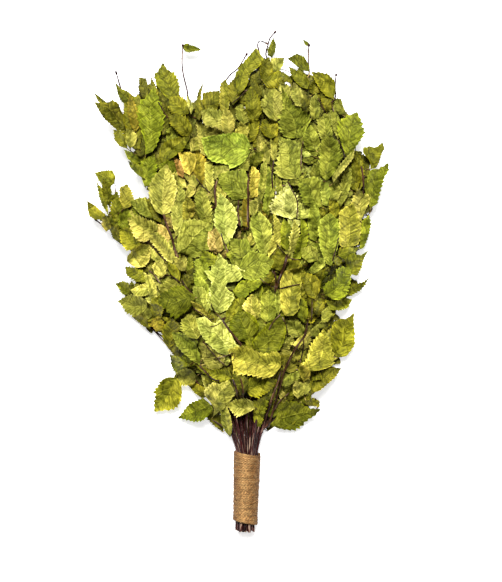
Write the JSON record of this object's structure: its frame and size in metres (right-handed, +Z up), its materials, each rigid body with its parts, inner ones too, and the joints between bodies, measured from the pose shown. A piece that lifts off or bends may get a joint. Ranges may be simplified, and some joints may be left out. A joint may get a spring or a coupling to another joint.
{
  "type": "birch sauna whisk",
  "caption": "Dried birch sauna whisk lying flat: a fan of leafy birch stems with their butts bound into a handle by wound jute twine",
  "frame": {"origin": "middle of the whisk's box, on the surface that it lies on", "axes": "+Y from the cut butts to the twig tips, +X across the fan of leaves, +Z up from the surface"},
  "size_m": [0.3614, 0.6006, 0.0716],
  "materials": {
    "bark": "dark purple-brown birch bark, slightly glossy, with pale flecks",
    "leaf": "dry papery birch leaf, matt, green to olive and golden yellow",
    "twine": "natural jute twine, matt, twisted, with loose fibres"
  },
  "bodies": {
    "root": {"binding_twine": "twine", "stem_01": "bark", "stem_02": "bark", "stem_03": "bark", "stem_04": "bark", "stem_05": "bark", "stem_06": "bark", "stem_07": "bark", "stem_08": "bark", "stem_09": "bark", "stem_10": "bark", "stem_11": "bark", "stem_12": "bark", "stem_13": "bark", "stem_14": "bark", "stem_15": "bark", "stem_16": "bark", "stem_17": "bark", "stem_18": "bark", "stem_19": "bark", "leading_spray_01": "leaf", "leading_spray_02": "leaf", "leading_spray_03": "leaf", "leading_spray_04": "leaf", "leading_spray_05": "leaf", "leading_spray_06": "leaf", "leading_spray_07": "leaf", "leading_spray_08": "leaf", "leading_spray_09": "leaf", "leading_spray_10": "leaf", "leading_spray_11": "leaf", "leading_spray_12": "leaf", "leading_spray_13": "leaf", "leading_spray_14": "leaf", "leading_spray_15": "leaf", "leading_spray_16": "leaf", "leading_spray_17": "leaf", "leading_spray_18": "leaf", "leading_spray_19": "leaf", "low_spray_01": "leaf", "low_spray_02": "leaf", "side_spray_01": "leaf", "side_spray_02": "leaf", "side_spray_03": "leaf", "side_spray_04": "leaf", "side_spray_05": "leaf", "side_spray_06": "leaf", "side_spray_07": "leaf", "side_spray_08": "leaf", "side_spray_09": "leaf", "side_spray_10": "leaf", "side_spray_11": "leaf", "side_spray_12": "leaf", "side_spray_13": "leaf", "side_spray_14": "leaf", "side_spray_15": "leaf", "side_spray_16": "leaf", "side_spray_17": "leaf", "side_spray_18": "leaf", "side_spray_19": "leaf"}
  },
  "joints": []
}
